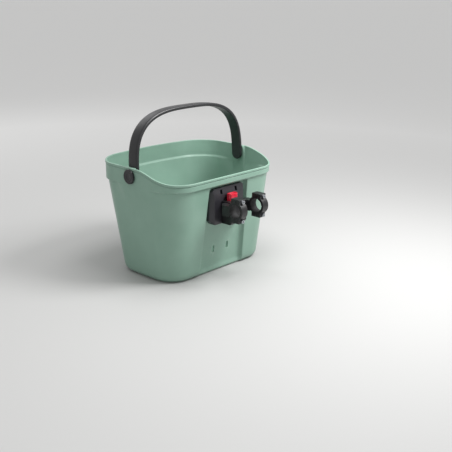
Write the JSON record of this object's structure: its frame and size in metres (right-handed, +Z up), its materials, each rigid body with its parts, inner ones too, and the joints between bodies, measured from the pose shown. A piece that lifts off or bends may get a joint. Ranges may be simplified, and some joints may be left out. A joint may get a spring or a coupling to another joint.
{
  "type": "handlebar basket",
  "caption": "Moulded bucket-shaped bicycle basket with a swinging carrying handle, a rear quick-release plate and a bracket that clamps round the handlebar.",
  "frame": {"origin": "on the underside of the bucket, below the middle of the rim outline", "axes": "+X to the bicycle's right along the handlebar, +Y forward away from the rider, +Z up"},
  "size_m": [0.3894, 0.3675, 0.3929],
  "materials": {
    "bucket_green": "satin moulded polypropylene",
    "handle_black": "satin",
    "cap_black": "satin",
    "plate_black": "fine texture",
    "bracket_black": "satin",
    "latch_black": "satin",
    "button_red": "gloss",
    "zinc_steel": "zinc plated",
    "spring_steel": "drawn wire",
    "liner_rubber": "matte",
    "nylon": "smooth"
  },
  "bodies": {
    "bracket": {"bracket_body": "bracket_black", "rail_plate": "bracket_black", "rail_screws": "zinc_steel", "clamp_cap_left": "bracket_black", "clamp_cap_right": "bracket_black", "clamp_bolts": "zinc_steel", "clamp_nuts": "zinc_steel", "bar_liner_left": "liner_rubber", "bar_liner_right": "liner_rubber", "button_spring": "spring_steel", "latch_spring": "spring_steel"},
    "basket": {"basket_shell": "bucket_green", "pivot_cap_left": "cap_black", "pivot_cap_right": "cap_black", "pivot_spacers": "nylon", "pivot_washers": "zinc_steel", "pivot_screws": "zinc_steel", "adapter_plate": "plate_black", "backing_plate": "zinc_steel", "plate_washers": "zinc_steel", "plate_screws": "zinc_steel"},
    "handle": {"carrying_handle": "handle_black"},
    "button": {"release_button": "button_red"},
    "latch": {"latch_tongue": "latch_black"}
  },
  "joints": [
    {"name": "basket_lift", "type": "slide", "parent": "bracket", "child": "basket", "axis": [0, 0, 1], "range_m": [0, 0.12]},
    {"name": "handle_swing", "type": "hinge", "parent": "basket", "child": "handle", "pos_m": [0, -0.0055, 0.2478], "axis": [1, 0, 0], "range_deg": [-86.5, 87]},
    {"name": "button_press", "type": "slide", "parent": "bracket", "child": "button", "axis": [0, 0, -1], "range_m": [0, 0.005], "stiffness_N_per_m": 900, "springref_m": -0.002, "deforming": ["button_spring"]},
    {"name": "latch_slide", "type": "slide", "parent": "bracket", "child": "latch", "axis": [0, -1, 0], "range_m": [0, 0.005], "stiffness_N_per_m": 500, "springref_m": -0.002, "deforming": ["latch_spring"]}
  ],
  "couplings": [
    {"joint": "latch_slide", "follows": "button_press", "ratio": 1}
  ]
}
